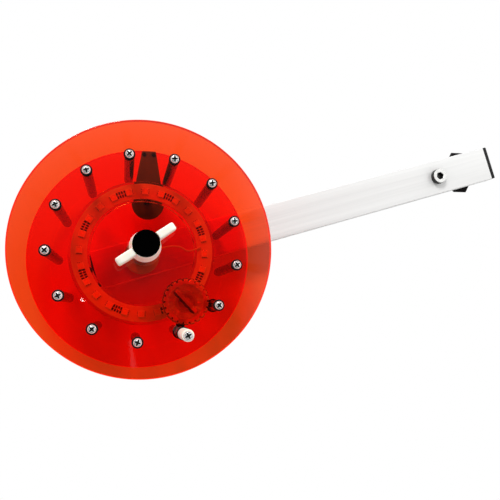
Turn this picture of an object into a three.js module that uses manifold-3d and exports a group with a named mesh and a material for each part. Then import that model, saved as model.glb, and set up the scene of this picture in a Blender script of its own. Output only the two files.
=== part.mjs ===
// A hand-held line reel with a lamp. A drum of two translucent red discs, held apart by thirteen
// spacer posts, turns on an axle bolt through a flat aluminium arm. A wing nut sets the drag, a peg
// on the front disc winds the drum, and a ring of lamps with its dimmer sits between the discs.
// Millimetres. +Z is the drum's axis, pointing to the wing nut. The reel lies on its back at Z = 0,
// the axle is at X = Y = 0, and the index plate is towards +Y.
import * as THREE from "three";
import { mergeVertices } from "three/addons/utils/BufferGeometryUtils.js";
import Module from "manifold-3d";

const wasm = await Module();
wasm.setup();

const GAP = 0.3; // between pieces that touch

// Drum
const DISC_RADIUS = 85;
const DISC_THICKNESS = 4;
const DISC_SPACING = 70.5;
const POST_COUNT = 13;
const POST_CIRCLE = 61.7;
const POST_RADIUS = 3.4;
const FIRST_POST_DEG = -9.2; // clockwise from +Y, as every angle on the drum
const PEG_POST = 7;
const DIMMER_POSTS = [6, 7];

// Screws
const SCREW_RADIUS = 1.45;
const SCREW_HOLE = 1.75;
const SCREW_DEPTH = 12;
const HEAD_RADIUS = 2.85;
const HEAD_HEIGHT = 2;
const FLAT_HEAD_RADIUS = 3;
const FLAT_HEAD_HEIGHT = 1.7;
const WASHER_RADIUS = 3.8;
const WASHER_THICKNESS = 0.9;

// Arm
const ARM_WIDTH = 30;
const ARM_DEPTH = 15;
const ARM_WALL = 1.5;
const ARM_TURN_DEG = 15.4;
const ARM_INNER_END = -37;
const ARM_OUTER_END = 329.5;
const CAP_FLANGE = 3;
const CAP_PLUG = 11;
const CLAMP_AT = 274.5;
const CLAMP_HEAD = 5;
const PAD_AT = 308.3;
const PAD_WIDTH = 21;
const PAD_LENGTH = 38;
const PAD_CUT = [4, 7]; // taken off each corner along X and Y
const PAD_TAPER = 0.72; // size at the bottom over size at the top

// Hub
const AXLE_RADIUS = 4;
const AXLE_BORE = 4.15;
const AXLE_TOP = 118.6;
const BOLT_HEAD_RADIUS = 7.5; // across the corners
const BOLT_HEAD_HEIGHT = 5.1;
const FOOT_RADIUS = 14;
const BARREL_RADIUS = 6;
const REAR_FLANGE_RADIUS = 13.5;
const FRONT_FLANGE_RADIUS = 8;
const BUSH_FLANGE = 2.4;
const TUBE_RADIUS = 6.6;
const TUBE_BORE = 4.9;
const NUT_RADIUS = 10.5;
const NUT_TOP_RADIUS = 8.75;
const NUT_HEIGHT = 16.4;
const NUT_SKIRT = 3.7;
const WING_REACH = 21.3;
const WING_THICKNESS = 5.3;
const WING_TURN_DEG = 32.5;
const WING_RISE = 2.2; // above the nut's top
const HUB_CAP_RADIUS = 8.6;
const HUB_CAP_HEIGHT = 2.5;
const CAP_SPIGOT_RADIUS = 3.8;
const CAP_SPIGOT = 2.8;

// Peg
const PEG_RADIUS = 3.75;
const PEG_LENGTH = 27;

// Lamp
const BOARD_FRONT = 70.1;
const BOARD_THICKNESS = 1.6;
const BOARD_INNER = 38.5;
const BOARD_OUTER = 49.5;
const CARRIER_INNER = 36.9;
const CARRIER_OUTER = 51.6;
const CARRIER_THICKNESS = 3;
const LED_COUNT = 24;
const LED_CIRCLE = 43.8;
const LED_SIZE = 4.6;
const LED_HEIGHT = 1.4;
const FIRST_LED_DEG = 2;
const STANDOFF_RADIUS = 3;
const STANDOFF_DEGS = [5, 130, 190, 255];
const LEAD_RADIUS = 0.6;

// Dimmer
const KNOB_CIRCLE = 45;
const KNOB_RADIUS = 16;
const KNOB_HEIGHT = 17.7;
const KNOB_FLUTES = 22;
const FLUTE_DEPTH = 0.8;
const BRACKET_LOW = 77.7;
const BRACKET_THICKNESS = 2.5;

// Index plate
const PLATE_THICKNESS = 2;
const PLATE_RADIUS = 12.5;
const PLATE_CENTRE = [5, 41.8];
const PLATE_REACH = 42.4;
const PLATE_END_HALF_WIDTH = 5.4;
const PLATE_TURN_DEG = -1.3;
const PLATE_SCREW_DROP = 2.6;
const PLATE_SCREW_SPREAD = 3.7;

// Levels along Z
const ARM_BACK = 10;
const ARM_FRONT = ARM_BACK + ARM_DEPTH;
const BACK_DISC_REAR = ARM_FRONT + 1.5;
const BACK_DISC_FRONT = BACK_DISC_REAR + DISC_THICKNESS;
const FRONT_DISC_REAR = BACK_DISC_FRONT + DISC_SPACING;
const FRONT_DISC_FRONT = FRONT_DISC_REAR + DISC_THICKNESS;
const BOARD_REAR = BOARD_FRONT - BOARD_THICKNESS;
const CARRIER_FRONT = BOARD_REAR - GAP;
const CARRIER_REAR = CARRIER_FRONT - CARRIER_THICKNESS;
const BRACKET_TOP = BRACKET_LOW + BRACKET_THICKNESS;
const KNOB_LOW = BRACKET_TOP + 1.1;
const WASHER_LOW = FRONT_DISC_FRONT + GAP;
const NUT_LOW = FRONT_DISC_FRONT + 0.6;
const NUT_TOP = NUT_LOW + NUT_HEIGHT;

// Looks
function finish(color, roughness, metalness = 0, opacity = 1) {
  return new THREE.MeshStandardMaterial({ color, roughness, metalness, opacity, transparent: opacity < 1 });
}
const redAcrylic = finish(0xf23a1d, 0.12, 0, 0.55);
const clearAcrylic = finish(0xf4f6f6, 0.08, 0, 0.35);
const aluminium = finish(0xdcdedc, 0.32, 1);
const steel = finish(0xb9bcbc, 0.25, 1);
const blackNylon = finish(0x0b0b0b, 0.45);
const blackRubber = finish(0x101010, 0.85);
const whiteNylon = finish(0xe9dfc9, 0.42);
const boardWhite = finish(0xe8e8e2, 0.5);
const leadWhite = finish(0xd8d4c8, 0.5);

// Shapes
function cylinder(radius, low, high, segments = 28, topRadius = radius) {
  return new THREE.CylinderGeometry(topRadius, radius, high - low, segments)
    .rotateX(Math.PI / 2)
    .translate(0, 0, (low + high) / 2);
}

function block(length, width, low, high) {
  return new THREE.BoxGeometry(length, width, high - low).translate(0, 0, (low + high) / 2);
}

function prism(shape, low, high) {
  return new THREE.ExtrudeGeometry(shape, { depth: high - low, bevelEnabled: false, curveSegments: 24 })
    .translate(0, 0, low);
}

function polar(radius, clockwiseDeg) {
  const angle = THREE.MathUtils.degToRad(clockwiseDeg);
  return [radius * Math.sin(angle), radius * Math.cos(angle)];
}

// A closed solid of a geometry, with its shared corners merged and its collapsed faces dropped.
function solid(piece) {
  if (piece instanceof wasm.Manifold) return piece;
  const bare = new THREE.BufferGeometry().setAttribute("position", piece.getAttribute("position"));
  bare.setIndex(piece.index);
  const merged = mergeVertices(bare, 1e-4);
  const faces = [];
  for (let i = 0; i < merged.index.count; i += 3) {
    const [a, b, c] = merged.index.array.slice(i, i + 3);
    if (a !== b && b !== c && c !== a) faces.push(a, b, c);
  }
  return new wasm.Manifold(
    new wasm.Mesh({
      numProp: 3,
      vertProperties: merged.attributes.position.array,
      triVerts: new Uint32Array(faces),
    }),
  );
}

function join(...pieces) {
  return pieces.map(solid).reduce((whole, piece) => whole.add(piece));
}

function cut(body, ...tools) {
  return tools.map(solid).reduce((rest, tool) => rest.subtract(tool), solid(body));
}

function ring(inner, outer, low, high, segments = 28) {
  return cut(cylinder(outer, low, high, segments), cylinder(inner, low - 1, high + 1, segments));
}

function geometryOf(piece) {
  const { vertProperties, triVerts } = solid(piece).getMesh();
  const geometry = new THREE.BufferGeometry();
  geometry.setAttribute("position", new THREE.BufferAttribute(vertProperties, 3));
  geometry.setIndex(new THREE.BufferAttribute(triVerts, 1));
  geometry.computeVertexNormals();
  return geometry;
}

function add(parent, name, piece, material, x = 0, y = 0) {
  const mesh = new THREE.Mesh(piece.isBufferGeometry ? piece : geometryOf(piece), material);
  mesh.name = name;
  mesh.position.set(x, y, 0);
  parent.add(mesh);
}

function postPlace(number) {
  return polar(POST_CIRCLE, FIRST_POST_DEG + ((number - 1) * 360) / POST_COUNT);
}

const postNumbers = Array.from({ length: POST_COUNT }, (_, i) => i + 1);
const reel = new THREE.Group();
const arm = new THREE.Group();
arm.rotation.z = THREE.MathUtils.degToRad(ARM_TURN_DEG);
reel.add(arm);

// Arm: a rectangular tube with plugged ends, its clamp screw and its rear pad
function armTube() {
  const length = ARM_OUTER_END - ARM_INNER_END;
  const middle = (ARM_OUTER_END + ARM_INNER_END) / 2;
  const holes = [
    [0, AXLE_RADIUS + GAP],
    [CLAMP_AT, AXLE_RADIUS + GAP],
  ].map(([x, radius]) => cylinder(radius, ARM_BACK - 1, ARM_FRONT + 1, 24).translate(x, 0, 0));
  const padHole = cylinder(SCREW_HOLE, ARM_BACK - 1, ARM_BACK + ARM_WALL + 1, 16).translate(PAD_AT, 0, 0);
  return cut(
    block(length, ARM_WIDTH, ARM_BACK, ARM_FRONT).translate(middle, 0, 0),
    block(length + 2, ARM_WIDTH - 2 * ARM_WALL, ARM_BACK + ARM_WALL, ARM_FRONT - ARM_WALL).translate(middle, 0, 0),
    ...holes,
    padHole,
  );
}

// A plug with a flange, for the end at x, facing outwards along side * X.
function endCap(x, side) {
  const inset = ARM_WALL + GAP;
  const flange = block(CAP_FLANGE, ARM_WIDTH, ARM_BACK, ARM_FRONT);
  const plug = block(CAP_PLUG + 1, ARM_WIDTH - 2 * inset, ARM_BACK + inset, ARM_FRONT - inset);
  return join(
    flange.translate(x + side * (GAP + CAP_FLANGE / 2), 0, 0),
    plug.translate(x - side * (CAP_PLUG / 2 - 0.5 - GAP), 0, 0),
  );
}

function clampScrew() {
  const headLow = ARM_FRONT + GAP;
  return cut(
    join(cylinder(6.5, headLow, headLow + CLAMP_HEAD, 32), cylinder(AXLE_RADIUS, 2.5, headLow + 1, 24)),
    cylinder(3.46, headLow + 2, headLow + CLAMP_HEAD + 1, 6),
  );
}

function padShape() {
  const x = PAD_WIDTH / 2;
  const y = PAD_LENGTH / 2;
  const [cutX, cutY] = PAD_CUT;
  const corners = [
    [x - cutX, -y],
    [x, cutY - y],
    [x, y - cutY],
    [x - cutX, y],
    [cutX - x, y],
    [-x, y - cutY],
    [-x, cutY - y],
    [cutX - x, -y],
  ];
  return new THREE.Shape(corners.map(([px, py]) => new THREE.Vector2(px, py)));
}

// The pad stands square to X and Y, so it is turned back from the arm.
function crossPad() {
  const pad = prism(padShape(), 0, ARM_BACK - GAP);
  const position = pad.getAttribute("position");
  for (let i = 0; i < position.count; i += 1) {
    const scale = position.getZ(i) < 1 ? PAD_TAPER : 1;
    position.setXY(i, position.getX(i) * scale, position.getY(i) * scale);
  }
  return cut(
    pad.rotateZ(-arm.rotation.z),
    cylinder(FLAT_HEAD_RADIUS + GAP, -1, 4, 20),
    cylinder(SCREW_HOLE, -1, ARM_BACK + 1, 16),
  );
}

function padScrew() {
  return join(cylinder(FLAT_HEAD_RADIUS, 1, 3.7, 20), cylinder(SCREW_RADIUS, 3, ARM_BACK + ARM_WALL + 1, 16));
}

function addArm() {
  add(arm, "arm_tube", armTube(), aluminium);
  add(arm, "outer_end_cap", endCap(ARM_OUTER_END, 1), blackNylon);
  add(arm, "inner_end_cap", endCap(ARM_INNER_END, -1), blackNylon);
  add(arm, "clamp_screw", clampScrew(), steel, CLAMP_AT);
  add(arm, "clamp_nut", cut(cylinder(7.5, 3.2, ARM_BACK - GAP, 6), cylinder(AXLE_BORE, 0, ARM_BACK, 24)), steel, CLAMP_AT);
  add(arm, "cross_pad", crossPad(), blackRubber, PAD_AT);
  add(arm, "pad_screw", padScrew(), steel, PAD_AT);
}

// Hub: the axle bolt through the arm, its rear foot, bushes, tube, washers and wing nut
function axleBolt() {
  const headHigh = ARM_BACK - GAP;
  return join(
    cylinder(BOLT_HEAD_RADIUS, headHigh - BOLT_HEAD_HEIGHT, headHigh, 6),
    cylinder(AXLE_RADIUS, headHigh - 1, AXLE_TOP, 24),
  );
}

function rearFoot() {
  const top = ARM_BACK - GAP;
  return cut(cylinder(FOOT_RADIUS, 0, top), cylinder(BOLT_HEAD_RADIUS + GAP, top - BOLT_HEAD_HEIGHT - GAP, top + 1));
}

function bush(barrelLow, barrelHigh, flangeRadius, flangeLow) {
  return cut(
    join(
      cylinder(BARREL_RADIUS, barrelLow, barrelHigh),
      cylinder(flangeRadius, flangeLow, flangeLow + BUSH_FLANGE),
    ),
    cylinder(AXLE_BORE, barrelLow - 1, barrelHigh + 1, 24),
  );
}

// Both wings as one plate through the hub, drawn in X and Z.
function wings() {
  const low = NUT_LOW + 4;
  const high = NUT_TOP + WING_RISE;
  const corner = 2.5;
  const outline = new THREE.Shape();
  outline.moveTo(-NUT_RADIUS + 1, low);
  outline.lineTo(NUT_RADIUS - 1, low);
  outline.lineTo(WING_REACH, low + 6);
  outline.lineTo(WING_REACH, high - corner);
  outline.absarc(WING_REACH - corner, high - corner, corner, 0, Math.PI / 2, false);
  outline.lineTo(corner - WING_REACH, high);
  outline.absarc(corner - WING_REACH, high - corner, corner, Math.PI / 2, Math.PI, false);
  outline.lineTo(-WING_REACH, low + 6);
  outline.closePath();
  return new THREE.ExtrudeGeometry(outline, { depth: WING_THICKNESS, bevelEnabled: false, curveSegments: 4 })
    .rotateX(Math.PI / 2)
    .translate(0, WING_THICKNESS / 2, 0)
    .rotateZ(THREE.MathUtils.degToRad(WING_TURN_DEG));
}

function wingNut() {
  return cut(
    join(cylinder(NUT_RADIUS, NUT_LOW, NUT_TOP, 40, NUT_TOP_RADIUS), wings()),
    cylinder(9, NUT_LOW - 1, NUT_LOW + NUT_SKIRT),
    cylinder(AXLE_BORE, NUT_LOW, NUT_TOP + 1, 24),
    cylinder(HUB_CAP_RADIUS + GAP, NUT_TOP, NUT_TOP + WING_RISE + 1, 40),
  );
}

// A round cap that rests on the nut, with a spigot in its bore.
function hubCap() {
  const low = NUT_TOP + GAP;
  return join(
    cylinder(HUB_CAP_RADIUS, low, low + HUB_CAP_HEIGHT, 40),
    cylinder(CAP_SPIGOT_RADIUS, NUT_TOP - CAP_SPIGOT, low + 1, 24),
  );
}

function addHub() {
  const bushLow = BACK_DISC_REAR - 0.2;
  const bushHigh = FRONT_DISC_FRONT + 0.4;
  const rearFlange = BACK_DISC_FRONT + GAP;
  const frontFlange = FRONT_DISC_REAR - GAP - BUSH_FLANGE;
  const dragLow = bushHigh + GAP;
  const springLow = dragLow + 1.5 + GAP;
  add(reel, "axle_bolt", axleBolt(), steel);
  add(reel, "rear_foot", rearFoot(), blackRubber);
  add(reel, "arm_washer", ring(AXLE_BORE, 9, ARM_FRONT + GAP, ARM_FRONT + 1), steel);
  const rearBush = bush(bushLow, rearFlange + BUSH_FLANGE, REAR_FLANGE_RADIUS, rearFlange);
  const frontBush = bush(frontFlange, bushHigh, FRONT_FLANGE_RADIUS, frontFlange);
  add(reel, "rear_bush", rearBush, whiteNylon);
  add(reel, "front_bush", frontBush, whiteNylon);
  add(reel, "hub_tube", ring(TUBE_BORE, TUBE_RADIUS, rearFlange + BUSH_FLANGE + GAP, frontFlange - GAP), aluminium);
  add(reel, "drag_washer", ring(AXLE_BORE, 8.6, dragLow, dragLow + 1.5), steel);
  add(reel, "spring_washer", ring(AXLE_BORE, 8.3, springLow, NUT_LOW + NUT_SKIRT - GAP), steel);
  add(reel, "wing_nut", wingNut(), whiteNylon);
  add(reel, "hub_cap", hubCap(), blackNylon);
}

// Drum: discs, posts and screws
function discHoles(low, high) {
  const holes = postNumbers.map((number) => cylinder(SCREW_HOLE, low, high, 12).translate(...postPlace(number), 0));
  return [cylinder(BARREL_RADIUS + GAP, low, high), ...holes];
}

function frontDisc() {
  const holes = discHoles(FRONT_DISC_REAR - 1, FRONT_DISC_FRONT + 1);
  return cut(cylinder(DISC_RADIUS, FRONT_DISC_REAR, FRONT_DISC_FRONT, 96), ...holes);
}

function countersink(x, y) {
  const high = BACK_DISC_REAR + FLAT_HEAD_HEIGHT + 2 * GAP;
  return cylinder(FLAT_HEAD_RADIUS + 2 * GAP, BACK_DISC_REAR - 0.2, high, 12, SCREW_HOLE).translate(x, y, 0);
}

function backDisc() {
  const standoffPlaces = STANDOFF_DEGS.map((deg) => polar(LED_CIRCLE, deg));
  const screwed = [...postNumbers.map(postPlace), ...standoffPlaces];
  const low = BACK_DISC_REAR - 1;
  const high = BACK_DISC_FRONT + 1;
  const standoffHoles = standoffPlaces.map(([x, y]) => cylinder(SCREW_HOLE, low, high, 12).translate(x, y, 0));
  const plateHoles = plateScrewPlaces().map(([x, y]) => cylinder(1.2, low, high, 8).translate(x, y, 0));
  return cut(
    cylinder(DISC_RADIUS, BACK_DISC_REAR, BACK_DISC_FRONT, 96),
    ...discHoles(low, high),
    ...standoffHoles,
    ...screwed.map(([x, y]) => countersink(x, y)),
    ...plateHoles,
  );
}

// A round spacer with the flat-head screw that holds it from behind the back disc.
function spacer(radius, low, high) {
  const headLow = BACK_DISC_REAR + GAP;
  return join(
    cylinder(radius, low, high, 16),
    cylinder(SCREW_RADIUS, headLow, low + 1, 8),
    cylinder(FLAT_HEAD_RADIUS, headLow, headLow + FLAT_HEAD_HEIGHT, 12, SCREW_RADIUS),
  );
}

function post() {
  const high = FRONT_DISC_REAR - GAP;
  return cut(
    spacer(POST_RADIUS, BACK_DISC_FRONT + GAP, high),
    cylinder(SCREW_HOLE, high - SCREW_DEPTH, high + 1, 8),
  );
}

// A pan-head screw with a cross recess, on the washer under it.
function panScrew(headLow, washerRadius, washerLow) {
  const tip = FRONT_DISC_REAR - SCREW_DEPTH + 1;
  const headHigh = headLow + HEAD_HEIGHT;
  const head = join(
    cylinder(HEAD_RADIUS, headLow, headLow + 1.2, 12),
    cylinder(HEAD_RADIUS, headLow + 1.2, headHigh, 12, HEAD_RADIUS * 0.62),
  );
  const recess = [block(3, 0.8, headHigh - 1.2, headHigh + 1), block(0.8, 3, headHigh - 1.2, headHigh + 1)];
  return cut(
    join(
      head,
      cylinder(SCREW_RADIUS, tip, headLow + 1, 8),
      cylinder(washerRadius, washerLow, washerLow + WASHER_THICKNESS, 16),
    ),
    ...recess,
  );
}

function addDrum() {
  add(reel, "front_disc", frontDisc(), redAcrylic);
  add(reel, "back_disc", backDisc(), redAcrylic);
  const postGeometry = geometryOf(post());
  const screwGeometry = geometryOf(panScrew(WASHER_LOW + WASHER_THICKNESS, WASHER_RADIUS, WASHER_LOW));
  for (const number of postNumbers) {
    const tag = String(number).padStart(2, "0");
    add(reel, `post_${tag}`, postGeometry, aluminium, ...postPlace(number));
    if (number !== PEG_POST) add(reel, `front_screw_${tag}`, screwGeometry, steel, ...postPlace(number));
  }
}

function addPeg() {
  const sleeveLow = WASHER_LOW + WASHER_THICKNESS + GAP;
  const sleeveHigh = sleeveLow + PEG_LENGTH;
  const place = postPlace(PEG_POST);
  add(reel, "peg_sleeve", ring(SCREW_HOLE, PEG_RADIUS, sleeveLow, sleeveHigh, 16), whiteNylon, ...place);
  add(reel, "peg_screw", panScrew(sleeveHigh + GAP, WASHER_RADIUS + 0.6, WASHER_LOW), steel, ...place);
}

// Lamp: the board with its light-emitting diodes, its clear carrier, standoffs and lead
function lampBoard() {
  const leds = Array.from({ length: LED_COUNT }, (_, i) => {
    const deg = FIRST_LED_DEG + (i * 360) / LED_COUNT;
    return block(LED_SIZE, LED_SIZE, BOARD_FRONT - 0.5, BOARD_FRONT + LED_HEIGHT)
      .translate(0, LED_CIRCLE, 0)
      .rotateZ(-THREE.MathUtils.degToRad(deg));
  });
  return join(ring(BOARD_INNER, BOARD_OUTER, BOARD_REAR, BOARD_FRONT, 48), ...leds);
}

function lampCarrier() {
  const holes = STANDOFF_DEGS.map((deg) =>
    cylinder(SCREW_HOLE, CARRIER_REAR - 1, CARRIER_FRONT + 1, 12).translate(...polar(LED_CIRCLE, deg), 0),
  );
  return cut(ring(CARRIER_INNER, CARRIER_OUTER, CARRIER_REAR, CARRIER_FRONT, 48), ...holes);
}

function standoff(low) {
  return join(
    spacer(STANDOFF_RADIUS, low, CARRIER_REAR - GAP),
    cylinder(SCREW_RADIUS, CARRIER_REAR - 1, CARRIER_FRONT - 0.6, 12),
  );
}

function lampLead() {
  const wallEnd = TUBE_RADIUS + GAP + 0.2;
  const route = [
    [wallEnd, 1.4, 71.6],
    [15.4, 3.3, 72.6],
    [20.4, 4.2, 72.6],
    [26.1, 3.6, 71.9],
    [29, 1.8, 71.2],
    [31.2, 0.2, 71],
    [36.5, 1.2, 71.1],
    [41, 3.4, 71.1],
  ].map((point) => new THREE.Vector3(...point));
  const section = new THREE.Shape();
  section.absarc(0, 0, LEAD_RADIUS, 0, 2 * Math.PI, false);
  const path = new THREE.CatmullRomCurve3(route);
  return new THREE.ExtrudeGeometry(section, { steps: 28, curveSegments: 4, bevelEnabled: false, extrudePath: path });
}

function addLamp() {
  add(reel, "lamp_board", lampBoard(), boardWhite);
  add(reel, "lamp_carrier", lampCarrier(), clearAcrylic);
  STANDOFF_DEGS.forEach((deg, i) => {
    const onPlate = i === 0;
    const low = BACK_DISC_FRONT + GAP + (onPlate ? PLATE_THICKNESS + GAP : 0);
    add(reel, `lamp_standoff_${i + 1}`, standoff(low), blackNylon, ...polar(LED_CIRCLE, deg));
  });
  add(reel, "lamp_lead", lampLead(), leadWhite);
}

// Dimmer: a fluted clear knob on a small control, held by a bracket on two posts
function bar([x0, y0], [x1, y1], width, low, high) {
  return block(Math.hypot(x1 - x0, y1 - y0), width, low, high)
    .rotateZ(Math.atan2(y1 - y0, x1 - x0))
    .translate((x0 + x1) / 2, (y0 + y1) / 2, 0);
}

function knobCentre() {
  const middlePost = (DIMMER_POSTS[0] + DIMMER_POSTS[1]) / 2;
  return polar(KNOB_CIRCLE, FIRST_POST_DEG + ((middlePost - 1) * 360) / POST_COUNT);
}

function dimmerBracket() {
  const centre = knobCentre();
  const places = DIMMER_POSTS.map(postPlace);
  const through = [BRACKET_LOW - 1, BRACKET_TOP + 1];
  return cut(
    join(
      cylinder(7, BRACKET_LOW, BRACKET_TOP, 28).translate(...centre, 0),
      ...places.map((place) => bar(centre, place, 6, BRACKET_LOW, BRACKET_TOP)),
      ...places.map((place) => cylinder(5.8, BRACKET_LOW, BRACKET_TOP, 28).translate(...place, 0)),
    ),
    ...places.map((place) => cylinder(POST_RADIUS + GAP, ...through, 28).translate(...place, 0)),
    cylinder(3.9, ...through, 24).translate(...centre, 0),
  );
}

function dimmerBody() {
  const bodyTop = BRACKET_LOW - GAP;
  return cut(
    join(block(11, 10, bodyTop - 5, bodyTop), cylinder(3.5, bodyTop - 1, BRACKET_TOP + 0.6, 24)),
    cylinder(2.7, bodyTop - 4, BRACKET_TOP + 2, 24),
  );
}

function flutedOutline() {
  const steps = 4 * KNOB_FLUTES;
  const points = Array.from({ length: steps }, (_, i) => {
    const angle = (i * 2 * Math.PI) / steps;
    const dip = i % 4 === 0 ? FLUTE_DEPTH : 0;
    return new THREE.Vector2((KNOB_RADIUS - dip) * Math.cos(angle), (KNOB_RADIUS - dip) * Math.sin(angle));
  });
  return new THREE.Shape(points);
}

function dimmerKnob() {
  const high = KNOB_LOW + KNOB_HEIGHT;
  const dished = cut(prism(flutedOutline(), KNOB_LOW, high), cylinder(11, high - 2.5, high + 1));
  const grip = block(21.5, 4, high - 3, high - 0.4).rotateZ(THREE.MathUtils.degToRad(-48));
  return cut(join(dished, grip), cylinder(2.8, KNOB_LOW - 1, KNOB_LOW + 11, 24));
}

function addDimmer() {
  add(reel, "dimmer_bracket", dimmerBracket(), blackNylon);
  add(reel, "dimmer_body", dimmerBody(), blackNylon, ...knobCentre());
  add(reel, "dimmer_shaft", cylinder(2.5, BRACKET_LOW - 3.5, KNOB_LOW + 10.5, 24), aluminium, ...knobCentre());
  add(reel, "dimmer_knob", dimmerKnob(), clearAcrylic, ...knobCentre());
}

// Index plate: a black teardrop on the back disc, with two small screws at its narrow end
function plateShape() {
  const distance = Math.hypot(PLATE_END_HALF_WIDTH, PLATE_REACH);
  const corner = Math.atan2(PLATE_REACH, PLATE_END_HALF_WIDTH);
  const tangent = corner - Math.acos(PLATE_RADIUS / distance);
  const outline = new THREE.Shape();
  outline.moveTo(PLATE_END_HALF_WIDTH, PLATE_REACH);
  outline.lineTo(-PLATE_END_HALF_WIDTH, PLATE_REACH);
  outline.absarc(0, 0, PLATE_RADIUS, Math.PI - tangent, 2 * Math.PI + tangent, false);
  outline.closePath();
  return outline;
}

function plateScrewPlaces() {
  const turn = THREE.MathUtils.degToRad(PLATE_TURN_DEG);
  return [-PLATE_SCREW_SPREAD, PLATE_SCREW_SPREAD].map((x) => {
    const place = new THREE.Vector2(x, PLATE_REACH - PLATE_SCREW_DROP).rotateAround(new THREE.Vector2(), turn);
    return [place.x + PLATE_CENTRE[0], place.y + PLATE_CENTRE[1]];
  });
}

function indexPlate() {
  const low = BACK_DISC_FRONT + GAP;
  const high = low + PLATE_THICKNESS;
  const plate = prism(plateShape(), low, high)
    .rotateZ(THREE.MathUtils.degToRad(PLATE_TURN_DEG))
    .translate(...PLATE_CENTRE, 0);
  const screwHoles = plateScrewPlaces().map(([x, y]) => cylinder(1.2, low - 1, high + 1, 12).translate(x, y, 0));
  const standoffHole = cylinder(SCREW_HOLE, low - 1, high + 1, 16);
  return cut(plate, ...screwHoles, standoffHole.translate(...polar(LED_CIRCLE, STANDOFF_DEGS[0]), 0));
}

function plateScrew() {
  const headLow = BACK_DISC_FRONT + PLATE_THICKNESS + 2 * GAP;
  return join(cylinder(1.7, headLow, headLow + 1.2, 20), cylinder(0.9, BACK_DISC_REAR + 1, headLow + 0.5, 12));
}

function addIndexPlate() {
  add(reel, "index_plate", indexPlate(), blackNylon);
  plateScrewPlaces().forEach(([x, y], i) => add(reel, `index_screw_${i + 1}`, plateScrew(), steel, x, y));
}

addArm();
addHub();
addDrum();
addPeg();
addLamp();
addDimmer();
addIndexPlate();

export default reel;
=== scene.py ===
"""A hand line reel with a lamp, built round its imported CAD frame.

Shapes are worked out in millimetres and turned into metres when a piece is placed. Sizes and places
come from the frame's boxes, and the angles round the drum are clockwise from +Y.
"""
import math
import random

import bmesh
import bpy
from mathutils import Matrix, Vector


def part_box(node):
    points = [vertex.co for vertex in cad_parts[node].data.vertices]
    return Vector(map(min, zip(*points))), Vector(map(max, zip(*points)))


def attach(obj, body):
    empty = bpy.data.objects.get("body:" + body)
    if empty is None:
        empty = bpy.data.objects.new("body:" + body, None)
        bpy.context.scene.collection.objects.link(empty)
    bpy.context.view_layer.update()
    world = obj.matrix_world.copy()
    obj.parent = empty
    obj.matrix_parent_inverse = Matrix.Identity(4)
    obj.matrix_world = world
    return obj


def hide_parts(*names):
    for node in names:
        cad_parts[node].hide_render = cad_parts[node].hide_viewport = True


MM = 0.001
GAP = 0.3
POST_COUNT = 13
PEG_POST = 7
LED_COUNT = 24
LED_CIRCLE = 43.8
FIRST_LED_DEG = 2.0
LED_SIZE = 4.6
STANDOFF_COUNT = 4
SMOOTH_BELOW_DEG = 32
ACRYLIC_IOR = 1.49

TUBE_WALL = 1.5
CAP_FLANGE = 3
CAP_PLAY = 0.6
PAD_CUT_X = 4
PAD_CUT_Y = 7
PAD_TAPER = 0.72
POST_BORE_DEPTH = 12
FOOT_POCKET = 7.8
FLANGE_THICKNESS = 2.4
NUT_RADIUS = 10.5
NUT_TOP_RADIUS = 8.75
NUT_RECESS = 9.1
WING_RISE = 2.2
HALF_WING = 2.65
CAP_SPIGOT = 3.8
BOARD_INNER = 38.5
BOARD_THICKNESS = 1.6
CARRIER_INNER = 36.9
LEAD_RADIUS = 0.6
BRACKET_BOSS = 7
BRACKET_WEB = 6
BRACKET_COLLAR = 4.7
BUSHING_HOLE = 3.8
SHAFT_RADIUS = 2.5
KNOB_RADIUS = 16.0
KNOB_FLUTES = 22
KNOB_TURN_DEG = -48

# Fasteners. Holes, bores, shanks and heads are given by their radius.
M8_ACROSS_FLATS = 13
M8_PITCH = 1.25
M8_THREAD = 4.0
M8_HOLE = 4.3
M8_BORE = 4.15
M3_HOLE = 1.75
M3_SHANK = 1.45
M3_BORE = 1.7
M2_HOLE = 1.2
M2_SHANK = 0.9
PAN_HEAD = 2.85
PAD_SCREW_HEAD = 3.0
FLAT_HEAD = 3.0
WASHER_THICKNESS = 0.9

CAMERA_PLACE = (-0.0133, -0.0397, 0.4682)
CAMERA_AHEAD = (0.2222, 0.1001, -0.9698)
CAMERA_UP = (0.0, 0.9947, 0.1027)
CAMERA_LENS = 39.76
CAMERA_SENSOR = 36.0

# Each area light: name, place, the point it aims at, size and power, in metres and watts.
LIGHTS = (
    ("key_light", (-0.3, 0.95, 0.95), (0, 0, 0.05), (0.36, 0.27), 10.5),
    ("small_glint", (-0.145, -0.039, 1.2), (-0.05, -0.04, 0.1), (0.012, 0.008), 0.007),
    ("faint_streak", (-0.006, -0.27, 1.2), (-0.01, -0.08, 0.1), (0.02, 0.13), 0.004),
)
# Along each axis of the sky's direction: where its light changes from and to, and the light there.
SKY_SLOPES = (
    ("Z", 0.96, 0.8, 0.05, 0.75),
    ("Y", -0.5, 0.4, -0.25, 0.06),
    ("X", 0.27, 0.46, 0.03, 0.52),
)
SKY_LEAST = 0.02
FLOOR_HALF = 2.5
FLOOR_LEVEL = -0.0003

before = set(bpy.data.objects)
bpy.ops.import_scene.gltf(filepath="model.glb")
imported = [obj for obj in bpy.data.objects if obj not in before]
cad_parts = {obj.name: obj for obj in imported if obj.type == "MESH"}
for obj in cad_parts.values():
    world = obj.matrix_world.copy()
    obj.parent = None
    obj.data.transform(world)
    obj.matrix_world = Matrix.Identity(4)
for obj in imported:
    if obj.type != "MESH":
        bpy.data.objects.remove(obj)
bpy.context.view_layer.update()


# ---------------------------------------------------------------- the frame, in millimetres


def low(node):
    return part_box(node)[0] / MM


def high(node):
    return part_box(node)[1] / MM


def middle(node):
    return (low(node) + high(node)) / 2


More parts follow.
